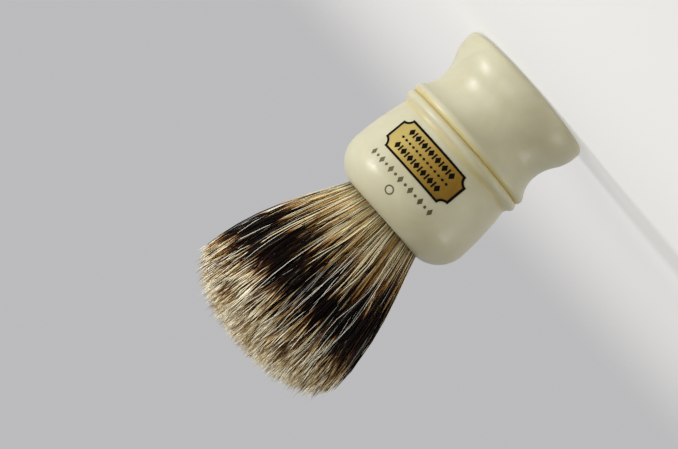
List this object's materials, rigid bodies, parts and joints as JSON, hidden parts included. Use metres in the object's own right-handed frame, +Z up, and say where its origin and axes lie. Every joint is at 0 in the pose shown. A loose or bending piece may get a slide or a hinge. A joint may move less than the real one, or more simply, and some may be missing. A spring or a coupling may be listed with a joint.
{
  "type": "shaving brush",
  "caption": "Upright shaving brush: turned ivory resin handle with a blind socket, and a fan-shaped badger-hair knot that flexes above the mouth.",
  "frame": {"origin": "centre of the handle's base, which the brush stands on", "axes": "+Z up along the brush towards the hair tips; the label faces -Y"},
  "size_m": [0.0438, 0.0438, 0.0913],
  "materials": {
    "ivory_resin": "gloss",
    "gilt_paint": "satin",
    "epoxy": "gloss",
    "knot_resin": "satin",
    "badger_hair": "matte",
    "waxed_thread": "matte",
    "gold_foil": "satin",
    "black_ink": "matte"
  },
  "bodies": {
    "handle_body": {"handle": "ivory_resin", "engraving_fill": "gilt_paint", "socket_cement": "epoxy", "knot_plug": "knot_resin", "hair_root": "badger_hair", "binding_thread": "waxed_thread", "label_foil": "gold_foil", "label_ink": "black_ink"},
    "knot_body": {"hair_knot": "badger_hair"}
  },
  "joints": [
    {"name": "knot_flex", "type": "hinge", "parent": "handle_body", "child": "knot_body", "pos_m": [0, 0, 0.052], "axis": [0, 1, 0], "range_deg": [-22, 22], "stiffness_Nm_per_rad": 0.12}
  ]
}
